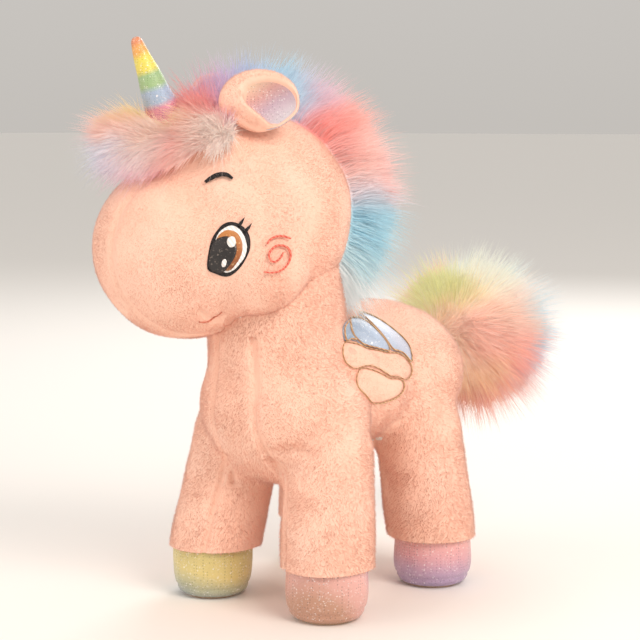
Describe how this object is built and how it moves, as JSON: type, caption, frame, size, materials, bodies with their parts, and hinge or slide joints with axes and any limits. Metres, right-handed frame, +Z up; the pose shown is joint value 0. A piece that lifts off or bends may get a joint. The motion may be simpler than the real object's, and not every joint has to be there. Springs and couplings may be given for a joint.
{
  "type": "plush unicorn",
  "caption": "Standing plush unicorn toy in pink short-pile plush with a rainbow fur mane and tail, a striped glitter horn, glitter hooves and embroidered eyes.",
  "frame": {"origin": "middle of the footprint box, on the ground under the hooves", "axes": "-Y the way the body faces, +X its left side, +Z up; the head is sewn on turned 29 degrees to its right"},
  "size_m": [0.1368, 0.3388, 0.3115],
  "materials": {
    "pink_plush": "short-pile pink plush",
    "fibre_stuffing": "white polyester fibre filling",
    "glitter_cloth": "glitter cloth with a shaded rainbow colour",
    "silver_glitter_cloth": "silver-blue glitter cloth appliqué",
    "rainbow_fur": "long tie-dyed faux fur",
    "black_thread": "black satin-stitch embroidery",
    "coral_thread": "coral satin-stitch embroidery"
  },
  "bodies": {
    "torso": {"chest_belly_gusset": "pink_plush", "torso_side_left": "pink_plush", "torso_side_right": "pink_plush", "torso_stuffing": "fibre_stuffing", "wing_left": "silver_glitter_cloth", "wing_right": "silver_glitter_cloth"},
    "head": {"brow_left": "black_thread", "brow_right": "black_thread", "cheek_swirl_left": "coral_thread", "cheek_swirl_right": "coral_thread", "eye_left": "black_thread", "eye_right": "black_thread", "forelock": "rainbow_fur", "head_gusset": "pink_plush", "head_side_left": "pink_plush", "head_side_right": "pink_plush", "head_stuffing": "fibre_stuffing", "horn_cover": "glitter_cloth", "horn_stuffing": "fibre_stuffing", "mane": "rainbow_fur", "mouth_stitch_left": "coral_thread", "mouth_stitch_right": "coral_thread"},
    "ear_left": {"ear_left_cover": "pink_plush", "ear_left_lining": "glitter_cloth"},
    "ear_right": {"ear_right_cover": "pink_plush", "ear_right_lining": "glitter_cloth"},
    "tail": {"tail_core": "fibre_stuffing", "tail_fur": "rainbow_fur"},
    "leg_front_left": {"hoof_front_left": "glitter_cloth", "leg_front_left_cover": "pink_plush", "leg_front_left_stuffing": "fibre_stuffing", "sole_front_left": "glitter_cloth"},
    "leg_front_right": {"hoof_front_right": "glitter_cloth", "leg_front_right_cover": "pink_plush", "leg_front_right_stuffing": "fibre_stuffing", "sole_front_right": "glitter_cloth"},
    "leg_rear_left": {"hoof_rear_left": "glitter_cloth", "leg_rear_left_cover": "pink_plush", "leg_rear_left_stuffing": "fibre_stuffing", "sole_rear_left": "glitter_cloth"},
    "leg_rear_right": {"hoof_rear_right": "glitter_cloth", "leg_rear_right_cover": "pink_plush", "leg_rear_right_stuffing": "fibre_stuffing", "sole_rear_right": "glitter_cloth"}
  },
  "joints": [
    {"name": "head_nod", "type": "hinge", "parent": "torso", "child": "head", "pos_m": [0.00048, -0.07713, 0.165], "axis": [0.8746, -0.4848, 0], "range_deg": [-8, 8], "stiffness_Nm_per_rad": 2},
    {"name": "leg_swing_front_left", "type": "hinge", "parent": "torso", "child": "leg_front_left", "pos_m": [0.03348, -0.07213, 0.088], "axis": [1, 0, 0], "range_deg": [-8, 8], "stiffness_Nm_per_rad": 2},
    {"name": "leg_swing_front_right", "type": "hinge", "parent": "torso", "child": "leg_front_right", "pos_m": [-0.03252, -0.07213, 0.088], "axis": [1, 0, 0], "range_deg": [-8, 8], "stiffness_Nm_per_rad": 2},
    {"name": "leg_swing_rear_left", "type": "hinge", "parent": "torso", "child": "leg_rear_left", "pos_m": [0.03548, 0.00887, 0.088], "axis": [1, 0, 0], "range_deg": [-8, 8], "stiffness_Nm_per_rad": 2},
    {"name": "leg_swing_rear_right", "type": "hinge", "parent": "torso", "child": "leg_rear_right", "pos_m": [-0.03452, 0.00887, 0.088], "axis": [1, 0, 0], "range_deg": [-8, 8], "stiffness_Nm_per_rad": 2},
    {"name": "tail_lift", "type": "hinge", "parent": "torso", "child": "tail", "pos_m": [0.00048, 0.06337, 0.136], "axis": [1, 0, 0], "range_deg": [-20, 20], "stiffness_Nm_per_rad": 0.5},
    {"name": "ear_fold_left", "type": "hinge", "parent": "head", "child": "ear_left", "pos_m": [0.02213, -0.11542, 0.2615], "axis": [0.8746, 0.4848, 0], "range_deg": [-8, 20], "stiffness_Nm_per_rad": 0.05},
    {"name": "ear_fold_right", "type": "hinge", "parent": "head", "child": "ear_right", "pos_m": [-0.04346, -0.07906, 0.2615], "axis": [0.0523, -0.9986, 0], "range_deg": [-8, 20], "stiffness_Nm_per_rad": 0.05}
  ]
}
